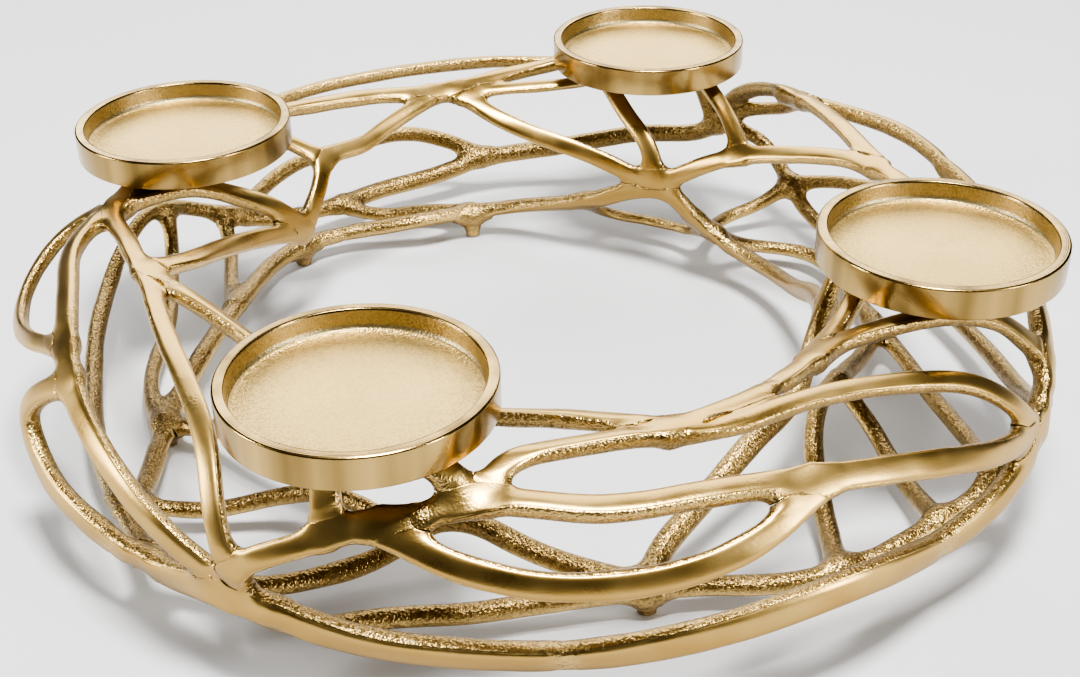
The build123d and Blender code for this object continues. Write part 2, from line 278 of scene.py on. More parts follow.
def smooth_run(points, start, finish):
    """Evenly spaced points of the cubic through points that starts and finishes in given directions."""
    gaps = np.linalg.norm(np.diff(points, axis=0), axis=1)
    slopes = np.diff(points, axis=0) / gaps[:, None]
    count = len(points)
    system = np.eye(count)
    wanted = np.zeros((count, 3))
    wanted[0], wanted[-1] = start, finish
    for i in range(1, count - 1):
        system[i, i - 1:i + 2] = gaps[i], 2 * (gaps[i - 1] + gaps[i]), gaps[i - 1]
        wanted[i] = 3 * (gaps[i] * slopes[i - 1] + gaps[i - 1] * slopes[i])
    tangents = np.linalg.solve(system, wanted)
    t = np.linspace(0, 1, fine_steps, endpoint=False)[:, None]
    fine = []
    for i in range(count - 1):
        fine.append((1 + 2 * t) * (1 - t) ** 2 * points[i] + t * (1 - t) ** 2 * gaps[i] * tangents[i]
                    + t ** 2 * (3 - 2 * t) * points[i + 1] + t ** 2 * (t - 1) * gaps[i] * tangents[i + 1])
    fine = np.vstack(fine + [points[-1:]])
    along = np.concatenate(([0], np.cumsum(np.linalg.norm(np.diff(fine, axis=0), axis=1))))
    steps = ring_step * max(3, round(along[-1] / line_pitch / ring_step))
    marks = np.linspace(0, along[-1], steps + 1)
    return np.column_stack([np.interp(marks, along, fine[:, axis]) for axis in range(3)])


class Limb:
    """A cast limb: its middle line, the axes of its section along it, and half its width and depth there."""

    def __init__(self, name, middle, ahead, out, half_width, half_depth, partners=(None, None), tip=None):
        self.name = name
        self.middle = middle
        self.ahead = ahead
        self.side = unit(np.cross(out, ahead))
        self.out = np.cross(ahead, self.side)
        self.half_width = half_width
        self.half_depth = half_depth
        self.partners = partners
        self.ground = tip is not None
        self.tip = tip if self.ground else np.zeros(len(middle))
        self.pitch = np.linalg.norm(middle[1] - middle[0])

    def nearest(self, points):
        """Number of the place on the middle line that is nearest to each point."""
        apart = np.stack([((points - place) ** 2).sum(axis=1) for place in self.middle])
        return apart.argmin(axis=0)

    def local(self, points, near):
        """Section axes, half sizes and local coordinates at points, eased between places."""
        last = len(self.middle) - 1
        run = ((points - self.middle[near]) * self.ahead[near]).sum(axis=1) / self.pitch
        at = np.clip(near + run, 0, last)
        low = np.minimum(at.astype(int), last - 1)
        part = at - low

        def eased(rows):
            share = part if rows.ndim == 1 else part[:, None]
            return rows[low] * (1 - share) + rows[low + 1] * share

        axes = [unit(eased(rows)) for rows in (self.side, self.out, self.ahead)]
        offset = points - eased(self.middle)
        x, y, z = [(offset * axis).sum(axis=1) for axis in axes]
        past = np.where(at <= 0, -z, np.where(at >= last, z, -1.0))
        return axes, eased(self.half_width), eased(self.half_depth), x, y, past, at <= 0

    def reach(self, points, near):
        """Distances of points from the limb's round and ground surfaces, with the ways that they grow."""
        (side, out, ahead), half_width, half_depth, x, y, past, at_start = self.local(points, near)
        ratio = np.hypot(x / half_width, y / half_depth)
        slope = np.maximum(np.hypot(x / half_width ** 2, y / half_depth ** 2), least_slope)
        gap = np.maximum(ratio * (ratio - 1) / slope, -half_depth * core_share)
        way = unit(side * (x / half_width ** 2)[:, None] + out * (y / half_depth ** 2)[:, None])
        beyond = np.maximum(past, 0)
        beside_gap = np.maximum(gap, 0)
        end_way = ahead * np.where(at_start, -1.0, 1.0)[:, None]
        rounded = way * beside_gap[:, None] + end_way * beyond[:, None]
        way = np.where((past > 0)[:, None], unit(rounded + way * least_way), way)
        gap = np.where(past > 0, np.where(gap > 0, np.hypot(beside_gap, beyond), gap + beyond), gap)
        if not self.ground:
            return gap, way, np.full(len(points), -1.0), out
        across = np.clip(x / half_width, -face_reach, face_reach)
        face_gap = y - half_depth * (face_share - crown_share * across ** 2)
        face_way = unit(out + side * (2 * crown_share * half_depth * across / half_width)[:, None])
        return gap, way, face_gap, face_way

    def depth(self, points, near):
        """How deep points are inside the limb, measured across it, below 0 outside."""
        half_width, half_depth, x, y, past = self.local(points, near)[1:6]
        inside = np.minimum(half_width - np.abs(x), sink_share * half_depth - np.abs(y))
        return np.where(past > 0, np.minimum(inside, -past), inside)

    def rings(self):
        """Matrices that place the section along the limb, with tucked rings past each butted end."""
        placed = [self.matrix(i, 0, 1) for i in range(0, len(self.middle), ring_step)]
        for reach, scale in tucks:
            if self.partners[0]:
                placed.insert(0, self.matrix(0, -reach, scale))
            if self.partners[1]:
                placed.append(self.matrix(-1, reach, scale))
        return placed

    def matrix(self, i, shift, scale):
        """Matrix of the section at place i, shifted along the limb and scaled."""
        place = self.middle[i] + self.ahead[i] * shift
        axes = (self.side[i] * self.half_width[i] * scale, self.out[i] * self.half_depth[i] * scale,
                self.ahead[i], place)
        rows = np.vstack((np.column_stack(axes), (0, 0, 0, 1)))
        return Matrix(rows.tolist())


plate_turns = {"front_plate": -90.0, "right_plate": 0.0, "back_plate": 90.0, "left_plate": 180.0}
stem_sink = 0.0025           # how far the stems run on into the plates' floors
stem_reach = 0.008           # ends this near below a plate belong to it
stem_short = 0.0005          # ends that lack less than this stay as they are
stem_rise = 0.35             # ends that rise less than this lie along the plate instead


def plate_centre(turn):
    """Place of a plate's axis on the floor."""
    return np.array((math.cos(math.radians(turn)), math.sin(math.radians(turn)), 0)) * plate_circle_radius


def under_plates(rows):
    """True for the places that are straight below or in a plate."""
    below = np.zeros(len(rows), bool)
    for turn in plate_turns.values():
        below |= np.linalg.norm((rows - plate_centre(turn))[:, :2], axis=1) < plate_radius
    return below & (rows[:, 2] > plate_base - stem_reach)


def run_on(end, way):
    """Place where an end, going on its way, is inside the plate above it, as rows; none for other ends."""
    missing = plate_base + stem_sink - end[2]
    if way[2] < stem_rise or missing < stem_short or not under_plates(end[None])[0]:
        return np.empty((0, 3))
    return (end + way * missing / way[2])[None]


def new_twig(name, stout, stations):
    """Limb of a twig, from its row of the table."""
    points = np.array([on_shell(*station) for station in stations])
    start = -leaving(name, stations[0], stations[1])
    finish = leaving(name, stations[-1], stations[-2])
    points = np.vstack((run_on(points[0], -start), points, run_on(points[-1], finish)))
    middle = smooth_run(points, start, finish)
    ahead = np.gradient(middle, axis=0)
    ahead[0], ahead[-1] = start, finish
    along = np.linspace(0, 1, len(middle)) * np.linalg.norm(np.diff(middle, axis=0), axis=1).sum()
    swell = np.full(len(middle), stout)
    partners = (butted(name, stations[0]), butted(name, stations[-1]))
    for end, (other, distance) in enumerate(zip(partners, (along, along[-1] - along))):
        if (name, end) == nose_end:
            swell = swell * np.sqrt(np.maximum(1 - np.clip(1 - distance / nose_run, 0, nose_blunt) ** 2, 0))
        elif other:
            shared = (stout + twig_shares[other[0]][0]) / 2
            swell = swell + smooth_step(1 - distance / taper_run) * (shared - stout)
        else:
            swell = swell * (1 + flare_share * smooth_step(1 - distance / flare_run))
    names = tuple(other and other[0] for other in partners)
    angle, first, last = face_tips.get(name, (0, 0, 1))
    share = along / along[-1]
    tip = math.radians(angle) * smooth_step((share - first) / tip_ease)
    tip = tip * smooth_step((last - share) / tip_ease)
    return Limb(name, middle, unit(ahead), ground_way(middle, tip), swell * twig_width / 2,
                swell * twig_depth / 2, names, tip)


def new_nub(number, turn, around):
    """Limb of a foot: a short taper from the floor up into its twig."""
    top = on_shell(turn, around)
    rise = np.linspace(0, top[2], foot_places)
    middle = np.column_stack((np.full(foot_places, top[0]), np.full(foot_places, top[1]), rise))
    radius = foot_tip_radius + rise * math.tan(foot_taper)
    ahead = np.tile((0.0, 0.0, 1.0), (foot_places, 1))
    out = np.tile((1.0, 0.0, 0.0), (foot_places, 1))
    return Limb(f"foot_{number}", middle, ahead, out, radius, radius)


twigs = [new_twig(name, row[0], row[1:]) for name, row in twig_shares.items()]
nubs = [new_nub(number, *share) for number, share in enumerate(foot_shares)]
limbs = twigs + nubs
order = {limb.name: number for number, limb in enumerate(limbs)}


# Where limbs meet
def ends_inside(limb, other):
    """Free ends of a limb that lie inside another one."""
    ends = [limb.middle[i] for i, partner in ((0, limb.partners[0]), (-1, limb.partners[1])) if not partner]
    return [end for end in ends if other.depth(end[None], other.nearest(end[None]))[0] > 0]


def dives(limb, other, points):
    """True for the points of a limb that slip under another limb's skin where the two meet."""
    later = order[limb.name] > order[other.name]
    mine, theirs = ends_inside(limb, other), ends_inside(other, limb)
    if not mine and not theirs:
        return np.full(len(points), later)
    chosen = np.zeros(len(points), bool)
    for end in mine:
        if later or not any(np.linalg.norm(end - rival) < near_end for rival in theirs):
            chosen |= np.linalg.norm(points - end, axis=1) < near_end
    return chosen


def union(points, groups):
    """Distance of points from the rounded skin over groups of limbs, the way it grows, and its webs."""
    total = None
    web = np.zeros(len(points))
    for group in groups:
        best = None
        for limb, near in group:
            rows = limb.reach(points, near)
            if best is not None:
                closer = rows[0] < best[0]
                rows = [np.where(closer if row.ndim == 1 else closer[:, None], row, old)
                        for row, old in zip(rows, best)]
            best = rows
        if total is None:
            total = best
            continue
        lead = np.clip(0.5 + 0.5 * (total[0] - best[0]) / weld_round, 0, 1)
        mixed = [old * (1 - share) + row * share for old, row, share in
                 zip(total, best, (lead, lead[:, None], lead, lead[:, None]))]
        mixed[0] = mixed[0] - weld_round * lead * (1 - lead)
        web = np.maximum(web, 4 * lead * (1 - lead))
        total = mixed
    gap, way, face_gap, face_way = total
    cut = np.clip(0.5 + 0.5 * (face_gap - gap) / edge_round, 0, 1)
    gap = gap * (1 - cut) + face_gap * cut + edge_round * cut * (1 - cut)
    return gap, way * (1 - cut)[:, None] + face_way * cut[:, None], web


def shortened(moves, most):
    """Rows of moves with none longer than a limit."""
    length = np.linalg.norm(moves, axis=1, keepdims=True)
    return moves * np.minimum(1, most / np.maximum(length, least_length))


def skin(limb, start):
    """Places of a limb's vertices on the skin that it shares with the limbs it meets, and the webs there."""
    low, high = start.min(axis=0) - weld_round, start.max(axis=0) + weld_round
    groups = [[(limb, limb.nearest(start))]]
    sunk = np.zeros(len(start))
    landed = []
    for other in limbs:
        wide = other.half_width.max()
        if other is limb or (other.middle.min(axis=0) - wide > high).any() \
                or (other.middle.max(axis=0) + wide < low).any():
            continue
        near = other.nearest(start)
        gap = other.reach(start, near)[0]
        if gap.min() > weld_round:
            continue
        if other.name in limb.partners:
            groups[0].append((other, near))
            past = limb.local(start, groups[0][0][1])[5]
            sunk = np.maximum(sunk, past)
            continue
        sunk = np.maximum(sunk, np.where(dives(limb, other, start), other.depth(start, near), 0))
        landed += ends_inside(limb, other)
        for group in groups[1:]:
            if any(other.name in member.partners for member, _ in group):
                group.append((other, near))
                break
        else:
            groups.append([(other, near)])
    level = -dive_depth * np.minimum(sunk / dive_width, 1) ** 2
    level = level - np.maximum(sunk - dive_width, 0) * dive_slope
    at = limb.middle[groups[0][0][1]]
    for end in landed:
        level = level - end_depth * smooth_step(end_lead - np.linalg.norm(at - end, axis=1) / end_run)
    level = np.maximum(level, -deepest)
    spots = start.copy()
    for _ in range(skin_turns):
        gap, way, web = union(spots, groups)
        strength = np.maximum((way ** 2).sum(axis=1), least_strength)
        spots = spots - shortened(way * ((gap - level) / strength)[:, None], skin_step)
        spots = start + shortened(spots - start, weld_round)
    return spots, web


# Mesh making
def new_piece(name, bm):
    """Object at the origin from a bmesh."""
    mesh = bpy.data.meshes.new(name)
    bm.to_mesh(mesh)
    bm.free()
    piece = bpy.data.objects.new(name, mesh)
    bpy.context.scene.collection.objects.link(piece)
    return piece


def round_off(piece, levels):
    """Rounds a cage by subdivision and keeps the result as the piece's mesh."""
    rounding = piece.modifiers.new("rounding", "SUBSURF")
    rounding.levels = levels
    rounding.render_levels = levels
    graph = bpy.context.evaluated_depsgraph_get()
    mesh = bpy.data.meshes.new_from_object(piece.evaluated_get(graph))
    cage = piece.data
    piece.modifiers.clear()
    piece.data = mesh
    bpy.data.meshes.remove(cage)
    mesh.name = piece.name
    mesh.shade_smooth()


def add_limb(bm, limb):
    """Cage of a limb: its section extruded from ring to ring and closed at both ends."""
    corners = list(section_shares) + [(-across, up) for across, up in reversed(section_shares)]
    rings = limb.rings()
    section = bmesh.ops.create_circle(bm, cap_ends=True, radius=1, segments=len(corners))["verts"]
    for corner, vert in zip(corners, section):
        vert.co = (*corner, 0)
    edges = list(bm.edges)
    bmesh.ops.transform(bm, matrix=rings[0], verts=section)
    for before, after in zip(rings, rings[1:]):
        grown = bmesh.ops.extrude_edge_only(bm, edges=edges)["geom"]
        section = [part for part in grown if isinstance(part, bmesh.types.BMVert)]
        ends = set(section)
        edges = [part for part in grown
                 if isinstance(part, bmesh.types.BMEdge) and ends.issuperset(part.verts)]
        bmesh.ops.transform(bm, matrix=after @ before.inverted(), verts=section)
    bmesh.ops.contextual_create(bm, geom=edges)


def places(mesh):
    """Vertex places of a mesh as rows."""
    rows = np.empty(len(mesh.vertices) * 3)
    mesh.vertices.foreach_get("co", rows)
    return rows.reshape(-1, 3)


def normals(mesh):
    """Vertex normals of a mesh as rows."""
    rows = np.empty(len(mesh.vertices) * 3, np.float32)
    mesh.vertex_normals.foreach_get("vector", rows)
    return rows.reshape(-1, 3).astype(float)


def set_places(mesh, rows):
    """Moves a mesh's vertices to these places."""
    mesh.vertices.foreach_set("co", rows.ravel())
    mesh.update()


def add_value(mesh, name, values):
    """Stores one number for each vertex."""
    stored = mesh.attributes.new(name, "FLOAT", "POINT")
    stored.data.foreach_set("value", values.astype(np.float32))


def unevenness(rows, size):
    """Smooth random heights at places, from -1 to 1, for lumps of a size."""
    return np.array([noise.noise(Vector(row) / size) for row in rows])


def weld_bead(limb, rows):
    """Share of weld bead at places: 1 at a limb's butted ends, fading along it."""
    bead = np.zeros(len(rows))
    for i, partner in ((0, limb.partners[0]), (-1, limb.partners[1])):
        if partner:
            run = ((rows - limb.middle[i]) * limb.ahead[i]).sum(axis=1)
            away = np.linalg.norm(rows - limb.middle[i], axis=1)
            bead = np.maximum(bead, np.exp(-(run / bead_reach) ** 2) * (away < bead_span))
    return bead


def draw_limb(name, limb):
    """Piece of one limb: a rounded cage set on the skin, with uneven lumps and its ground face marked."""
    bm = bmesh.new()
    add_limb(bm, limb)
    bmesh.ops.recalc_face_normals(bm, faces=bm.faces)
    piece = new_piece(name, bm)
    round_off(piece, rounding_levels)
    mesh = piece.data
    rows, web = skin(limb, places(mesh))
    set_places(mesh, rows)
    face = normals(mesh)
    facing = (face * ground_way(rows, limb.tip[limb.nearest(rows)])).sum(axis=1)
    ground = smooth_step((facing - ground_facing) / ground_fade)
    bead = weld_bead(limb, rows)
    lumps = (unevenness(rows, lump_size) - 1) * lump_height * (1 - lump_grinding * ground)
    lumps = lumps + (unevenness(rows, bead_size) - 1) * bead_height * bead
    rows = rows + face * lumps[:, None]
    rows[:, 2] = np.where(under_plates(rows), np.minimum(rows[:, 2], plate_base + stem_sink), rows[:, 2])
    set_places(mesh, rows)
    patches = smooth_step(patch_cover + unevenness(rows, patch_size))
    height = (rows[:, 2] - ring_height) / shell_half_height
    upper = smooth_step((height - upper_share) / (1 - upper_share))
    worn = 1 - patch_wear * upper * (1 - patches)
    add_value(mesh, "ground", ground * worn * (1 - bead_dulling * bead) * limb.ground)
    # Painted shade: inward-turned faces and the webs where limbs meet are marked for darkening
    add_value(mesh, "deep", np.maximum(smooth_step((inward_shade_facing - facing) / inward_shade_fade), web_shade * web))
    # Painted shade: the more a ground face turns down, the darker its gold
    add_value(mesh, "down_shade", down_shade_share * smooth_step((down_shade_tilt - face[:, 2]) / down_shade_fade))
    return piece


# Materials. Size and depth of the casting's pits, and the ranges of noise that show
pit_scale = 0.3
pit_height = 0.35
low_range = (0.74, 0.54)
cloud_range = (0.3, 0.7)


def node(tree, kind, **values):
    """New node with its properties, or inputs whose names follow in_, set."""
    made = tree.nodes.new(kind)
    for key, value in values.items():
        if key.startswith("in_"):
            made.inputs[key[3:].replace("_", " ")].default_value = value
        else:
            setattr(made, key, value)
    return made


def new_group(name, inputs, outputs):
    """Shader node group with named sockets, and its two ends."""
    tree = bpy.data.node_groups.new(name, "ShaderNodeTree")
    for label, kind, value in inputs:
        socket = tree.interface.new_socket(label, in_out="INPUT", socket_type=kind)
        socket.default_value = value
    for label, kind in outputs:
        tree.interface.new_socket(label, in_out="OUTPUT", socket_type=kind)
    return tree, tree.nodes.new("NodeGroupInput"), tree.nodes.new("NodeGroupOutput")


def cast_grain_group():
    """Sand-cast skin: fine grains and larger pits as a height, and a mask of the low spots."""
    tree, begin, end = new_group("cast_grain", [("Vector", "NodeSocketVector", (0, 0, 0)),
                                                ("Grain", "NodeSocketFloat", 900.0)],
                                 [("Height", "NodeSocketFloat"), ("Low", "NodeSocketFloat")])
    link = tree.links.new
    grains = node(tree, "ShaderNodeTexNoise", in_Detail=1.0, in_Roughness=0.5)
    slow = node(tree, "ShaderNodeMath", operation="MULTIPLY")
    slow.inputs[1].default_value = pit_scale
    pits = node(tree, "ShaderNodeTexNoise", in_Detail=1.0)
    total = node(tree, "ShaderNodeMath", operation="MULTIPLY_ADD")
    total.inputs[1].default_value = pit_height
    low = node(tree, "ShaderNodeMapRange", in_From_Min=low_range[0], in_From_Max=low_range[1])
    for texture in (grains, pits):
        link(begin.outputs["Vector"], texture.inputs["Vector"])
    link(begin.outputs["Grain"], grains.inputs["Scale"])
    link(begin.outputs["Grain"], slow.inputs[0])
    link(slow.outputs[0], pits.inputs["Scale"])
    link(pits.outputs["Fac"], total.inputs[0])
    link(grains.outputs["Fac"], total.inputs[2])
    link(total.outputs[0], end.inputs["Height"])
    link(total.outputs[0], low.inputs["Value"])
    link(low.outputs["Result"], end.inputs["Low"])
    return tree


def finish_cloud_group():
    """Slow clouding of a finish, from 0 to 1."""
    tree, begin, end = new_group("finish_cloud", [("Vector", "NodeSocketVector", (0, 0, 0)),
                                                  ("Size", "NodeSocketFloat", 40.0)],
                                 [("Cloud", "NodeSocketFloat")])
    link = tree.links.new
    clouds = node(tree, "ShaderNodeTexNoise", in_Detail=2.0)
    spread = node(tree, "ShaderNodeMapRange", in_From_Min=cloud_range[0], in_From_Max=cloud_range[1])
    link(begin.outputs["Vector"], clouds.inputs["Vector"])
    link(begin.outputs["Size"], clouds.inputs["Scale"])
    link(clouds.outputs["Fac"], spread.inputs["Value"])
    link(spread.outputs["Result"], end.inputs["Cloud"])
    return tree


cast_grain = cast_grain_group()
finish_cloud = finish_cloud_group()

# Golds of the ground faces, the raw casting, and the plates' floor, inner wall and outer wall
ground_gold = (0.45, 0.283, 0.082, 1)
ground_pale = (0.58, 0.392, 0.135, 1)
# Painted shade of the ground faces that turn down
ground_shaded = (0.24, 0.143, 0.040, 1)
cast_gold = (0.56, 0.388, 0.148, 1)
# Darkest brown: the dark of the grain's pits, and painted shade
pit_and_shade_brown = (0.11, 0.066, 0.021, 1)
floor_gold = (0.66, 0.475, 0.18, 1)
floor_dark = (0.40, 0.275, 0.10, 1)
bowl_gold = (0.42, 0.335, 0.17, 1)
bowl_dark = (0.20, 0.15, 0.07, 1)
wall_gold = (0.50, 0.343, 0.125, 1)
# Dark of the outer wall's stains and of its painted reflection bands
wall_stain_and_reflection = (0.18, 0.117, 0.039, 1)

# Finish of the twigs: sizes of grain and clouds, how dark painted shade and the grain's pits make the raw
# skin, roughness and relief
twig_grain = 1050.0
twig_cloud = 45.0
raw_shade = 0.52
pit_and_inward_shade = (0.30, 0.90)
ground_polish = (0.26, 0.38)
raw_roughness = 0.29
ground_grain = 0.05
twig_bump = {"in_Strength": 0.9, "in_Distance": 0.00055}

# Finish of the plates: the same, with dark and bright bands of painted reflection and stains down the outer
# wall, and turned rings on the floor
plate_grain = 1300.0
plate_cloud = 30.0
reflection_band_size = 70.0
reflection_band_stretch = (1, 1, 0.04)
floor_speckle = (0.30, 1.0)
wall_polish = (0.16, 0.26)
bowl_roughness = 0.36
floor_roughness = 0.44
turned_pitch = 9000.0
turned_height = 0.03
floor_grain = (0.06, 0.8)
bowl_grain = 0.35
plate_bump = {"in_Strength": 0.6, "in_Distance": 0.0009}


def mix_colours(tree, share, first, second):
    """Mix of two colours, or colour sockets, by a share socket."""
    mixed = node(tree, "ShaderNodeMix", data_type="RGBA")
    tree.links.new(share, mixed.inputs[0])
    for number, colour in ((6, first), (7, second)):
        if isinstance(colour, tuple):
            mixed.inputs[number].default_value = colour
        else:
            tree.links.new(colour, mixed.inputs[number])
    return mixed.outputs[2]


def mix_values(tree, share, first, second):
    """Value between two numbers, or value sockets, by a share socket."""
    mixed = node(tree, "ShaderNodeMapRange")
    tree.links.new(share, mixed.inputs["Value"])
    for label, value in (("To Min", first), ("To Max", second)):
        if isinstance(value, float):
            mixed.inputs[label].default_value = value
        else:
            tree.links.new(value, mixed.inputs[label])
    return mixed.outputs["Result"]


def times(tree, first, second):
    """Product of two value sockets, or of a socket and a number."""
    product = node(tree, "ShaderNodeMath", operation="MULTIPLY")
    tree.links.new(first, product.inputs[0])
    if isinstance(second, float):
        product.inputs[1].default_value = second
    else:
        tree.links.new(second, product.inputs[1])
    return product.outputs[0]


def new_material(name):
    """Metal material, its node tree, shader and object coordinates."""
    material = bpy.data.materials.new(name)
    material.use_nodes = True
    tree = material.node_tree
    shader = tree.nodes["Principled BSDF"]
    shader.inputs["Metallic"].default_value = 1.0
    place = tree.nodes.new("ShaderNodeTexCoord").outputs["Object"]
    return material, tree, shader, place


def add_group(tree, group, place, **values):
    """A node group placed in a material, reading its coordinates."""
    made = tree.nodes.new("ShaderNodeGroup")
    made.node_tree = group
    tree.links.new(place, made.inputs["Vector"])
    for label, value in values.items():
        made.inputs[label].default_value = value
    return made.outputs


def read_value(tree, name):
    """Socket of a number stored on the mesh."""
    return node(tree, "ShaderNodeAttribute", attribute_name=name).outputs["Fac"]


def twig_material():
    """Gold-coated casting: raw grain all over, polished where the outer faces are ground."""
    material, tree, shader, place = new_material("twig_gold")
    link = tree.links.new
    ground = read_value(tree, "ground")
    grain = add_group(tree, cast_grain, place, Grain=twig_grain)
    cloud = add_group(tree, finish_cloud, place, Size=twig_cloud)["Cloud"]
    deep = read_value(tree, "deep")
    # Painted shade: the raw skin darkens where it turns inward and in the webs, on top of the dark of the
    # grain's pits
    pits_and_shade = mix_values(tree, grain["Low"], times(tree, deep, raw_shade), mix_values(tree, deep, *pit_and_inward_shade))
    raw = mix_colours(tree, pits_and_shade, cast_gold, pit_and_shade_brown)
    fine = mix_colours(tree, cloud, ground_gold, ground_pale)
    # Painted shade: ground faces that turn down take the darker gold
    fine = mix_colours(tree, read_value(tree, "down_shade"), fine, ground_shaded)
    link(mix_colours(tree, ground, raw, fine), shader.inputs["Base Color"])
    polish = mix_values(tree, cloud, *ground_polish)
    link(mix_values(tree, ground, raw_roughness, polish), shader.inputs["Roughness"])
    height = times(tree, grain["Height"], mix_values(tree, ground, 1.0, ground_grain))
    bump = node(tree, "ShaderNodeBump", **twig_bump)
    link(height, bump.inputs["Height"])
    link(bump.outputs["Normal"], shader.inputs["Normal"])
    return material


def plate_material():
    """Turned gold plate: polished wall with painted reflection bands, pale satin floor with faint turned
    rings, raw band at its edge, painted shade underneath.
    """
    material, tree, shader, place = new_material("plate_gold")
    link = tree.links.new
    floor = read_value(tree, "floor")
    raw = read_value(tree, "raw")
    cloud = add_group(tree, finish_cloud, place, Size=plate_cloud)["Cloud"]
    grain = add_group(tree, cast_grain, place, Grain=plate_grain)
    # Painted reflection: vertical dark and bright bands down the outer wall, with its stains
    reflection_band_mapping = node(tree, "ShaderNodeMapping")
    reflection_band_mapping.inputs["Scale"].default_value = reflection_band_stretch
    link(place, reflection_band_mapping.inputs["Vector"])
    reflection_band = add_group(tree, finish_cloud, reflection_band_mapping.outputs["Vector"], Size=reflection_band_size)["Cloud"]
    bowl = read_value(tree, "bowl")
    wall = mix_colours(tree, reflection_band, wall_stain_and_reflection, wall_gold)
    inner_wall = mix_colours(tree, times(tree, cloud, grain["Low"]), bowl_gold, bowl_dark)
    wall = mix_colours(tree, bowl, wall, inner_wall)
    speckle = times(tree, mix_values(tree, raw, *floor_speckle), grain["Low"])
    satin = mix_colours(tree, speckle, floor_gold, floor_dark)
    bright = mix_colours(tree, floor, wall, satin)
    # Painted shade: the plate's underside takes the darkest brown
    link(mix_colours(tree, read_value(tree, "under"), bright, pit_and_shade_brown), shader.inputs["Base Color"])
    polish = mix_values(tree, bowl, mix_values(tree, cloud, *wall_polish), bowl_roughness)
    link(mix_values(tree, floor, polish, floor_roughness), shader.inputs["Roughness"])
    turned = node(tree, "ShaderNodeMath", operation="SINE")
    link(times(tree, read_value(tree, "radius"), turned_pitch), turned.inputs[0])
    height = node(tree, "ShaderNodeMath", operation="ADD")
    link(times(tree, turned.outputs[0], turned_height), height.inputs[0])
    rough = mix_values(tree, bowl, mix_values(tree, raw, *floor_grain), bowl_grain)
    link(times(tree, grain["Height"], rough), height.inputs[1])
    bump = node(tree, "ShaderNodeBump", **plate_bump)
    link(height.outputs[0], bump.inputs["Height"])
    link(bump.outputs["Normal"], shader.inputs["Normal"])
    return material


twig_gold = twig_material()
plate_gold = plate_material()


def finish_piece(piece, material, slot, *nodes):
    """Gives a piece its material and its body, and hides the parts of the nodes that it stands for."""
    piece.data.materials.clear()
    piece.data.materials.append(material)
    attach(piece, "root")
    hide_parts(*nodes)


# Twigs
for twig in twigs:
    finish_piece(draw_limb(twig.name + "_cast", twig), twig_gold, "twig_gold", twig.name)

# Feet, flattened where they stand
foot_flat = 0.0004
feet = [draw_limb(nub.name, nub) for nub in nubs]
bm = bmesh.new()
for foot in feet:
    bm.from_mesh(foot.data)
    bpy.data.objects.remove(foot)
for vert in bm.verts:
    if vert.co.z < foot_flat:
        vert.co.z = 0
feet_cast = new_piece("feet_cast", bm)
feet_cast.data.shade_smooth()
finish_piece(feet_cast, twig_gold, "twig_gold", "feet")


# Plates
def arc(centre, radius, start, finish, steps=5):
    """Places along an arc of a profile, from one angle in degrees to another."""
    turns = [math.radians(start + (finish - start) * i / steps) for i in range(steps + 1)]
    return [(centre[0] + radius * math.cos(turn), centre[1] + radius * math.sin(turn)) for turn in turns]


rim_round = 0.0009
foot_round = 0.0007
cove_steps = 8
cove_margin = 0.002          # flat ring of the floor next to the cove
floor_ring = 0.5             # where the floor has one more ring, as a share of its radius
cove_share = 0.3             # part of the cove that is finished like the wall
raw_start = 3 * plate_cove   # the floor gets raw this far from the wall, over this width
raw_width = 2 * plate_cove
touch = 1e-5
merge_distance = 1e-6
plate_turn_steps = 192


def plate_profile():
    """Half of a plate's outline, from its middle underneath round its rim to the middle of its floor."""
    inner, floor_top = plate_radius - plate_wall, plate_base + plate_floor
    low, high = plate_base + foot_round, plate_top - rim_round
    outline = [(0, plate_base - boss_depth), (boss_radius * boss_tip_share, plate_base - boss_depth),
               (boss_radius, plate_base)]
    outline += arc((plate_radius - foot_round, low), foot_round, -90, 0)
    outline += arc((plate_radius - rim_round, high), rim_round, 0, 90)
    outline += arc((inner + rim_round, high), rim_round, 90, 180)
    outline += arc((inner - plate_cove, floor_top + plate_cove), plate_cove, 0, -90, cove_steps)
    outline += [(reach, floor_top) for reach in (inner - plate_cove - cove_margin, inner * floor_ring, 0)]
    return outline


def draw_plate(name, turn):
    """Turned plate: half its profile spun round its axis."""
    bm = bmesh.new()
    verts = [bm.verts.new((r, 0, z)) for r, z in plate_profile()]
    edges = [bm.edges.new(pair) for pair in zip(verts, verts[1:])]
    bmesh.ops.spin(bm, geom=verts + edges, cent=(0, 0, 0), axis=(0, 0, 1), angle=math.tau,
                   steps=plate_turn_steps, use_merge=True)
    bmesh.ops.remove_doubles(bm, verts=bm.verts, dist=merge_distance)
    bmesh.ops.recalc_face_normals(bm, faces=bm.faces)
    piece = new_piece(name + "_turned", bm)
    mesh = piece.data
    mesh.shade_smooth()
    rows = places(mesh)
    radius = np.hypot(rows[:, 0], rows[:, 1])
    inner = plate_radius - plate_wall
    inside = (rows[:, 2] > plate_base + plate_floor - touch) & (radius < inner - plate_cove * cove_share)
    add_value(mesh, "radius", radius)
    add_value(mesh, "floor", inside.astype(float))
    # Painted shade: marks the underside, which is painted darkest
    add_value(mesh, "under", (rows[:, 2] < plate_base + touch).astype(float))
    walled = (rows[:, 2] > plate_base + plate_floor) & (radius < inner + touch) & ~inside
    add_value(mesh, "bowl", walled.astype(float))
    add_value(mesh, "raw", inside * smooth_step((radius - inner + raw_start) / raw_width))
    set_places(mesh, rows + plate_centre(turn))
    finish_piece(piece, plate_gold, "plate_gold", name)


for name, turn in plate_turns.items():
    draw_plate(name, turn)

